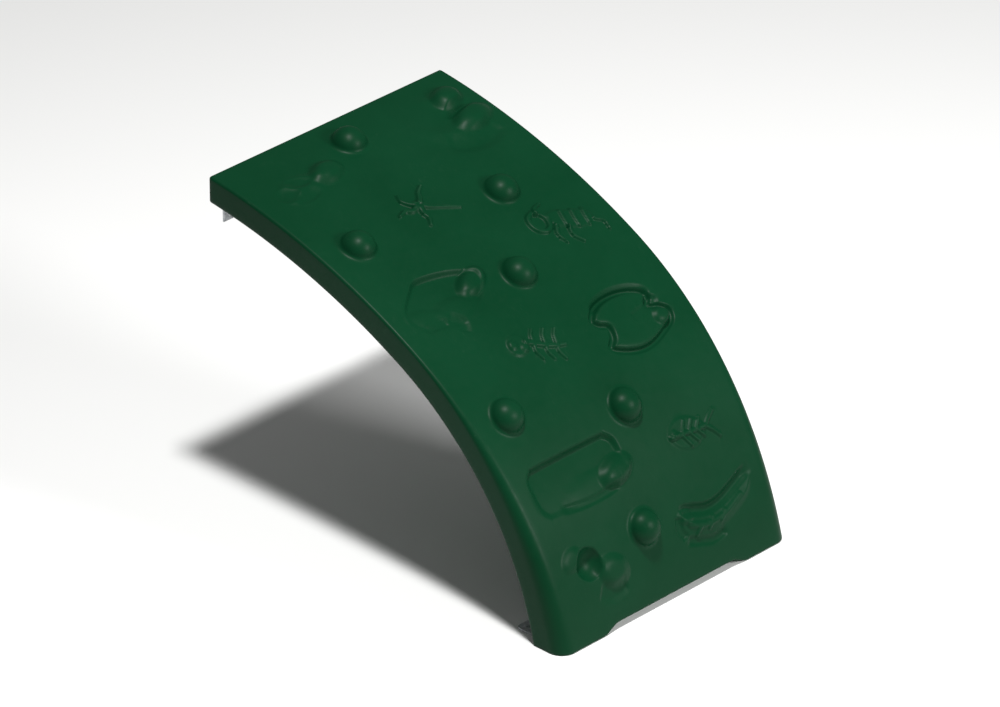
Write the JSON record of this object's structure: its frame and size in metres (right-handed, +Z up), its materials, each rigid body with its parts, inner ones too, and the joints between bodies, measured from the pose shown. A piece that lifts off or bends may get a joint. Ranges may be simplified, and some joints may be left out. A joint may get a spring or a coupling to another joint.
{
  "type": "arched rock climbing panel",
  "caption": "Arched moulded plastic climbing wall with knobs, ledges and fossil reliefs, rising from the ground to a play deck.",
  "frame": {"origin": "middle of the row of four deck bolts, on the deck's side face, 815 mm above the ground", "axes": "+X across the panel, to the right of someone facing the climbing face; +Y level, into the deck, so the climbing face looks towards -Y; +Z up"},
  "size_m": [0.864, 1.2828, 0.9619],
  "materials": {
    "panel_plastic": "dark green moulded polyethylene, semi-gloss with a fine grain",
    "plug_plastic": "dark green moulded plastic",
    "galvanised_steel": "hot-dip galvanised",
    "stainless_steel": "stainless steel",
    "insert_brass": "machined brass"
  },
  "bodies": {
    "root": {"climber_body": "panel_plastic", "deck_angle": "galvanised_steel", "left_ground_bracket": "galvanised_steel", "right_ground_bracket": "galvanised_steel", "vent_plugs": "plug_plastic", "deck_angle_bolts": "stainless_steel", "deck_angle_washers": "stainless_steel", "deck_angle_lock_washers": "stainless_steel", "left_bracket_bolts": "stainless_steel", "left_bracket_washers": "stainless_steel", "left_bracket_lock_washers": "stainless_steel", "right_bracket_bolts": "stainless_steel", "right_bracket_washers": "stainless_steel", "right_bracket_lock_washers": "stainless_steel", "deck_inserts": "insert_brass", "left_bracket_inserts": "insert_brass", "right_bracket_inserts": "insert_brass"}
  },
  "joints": []
}
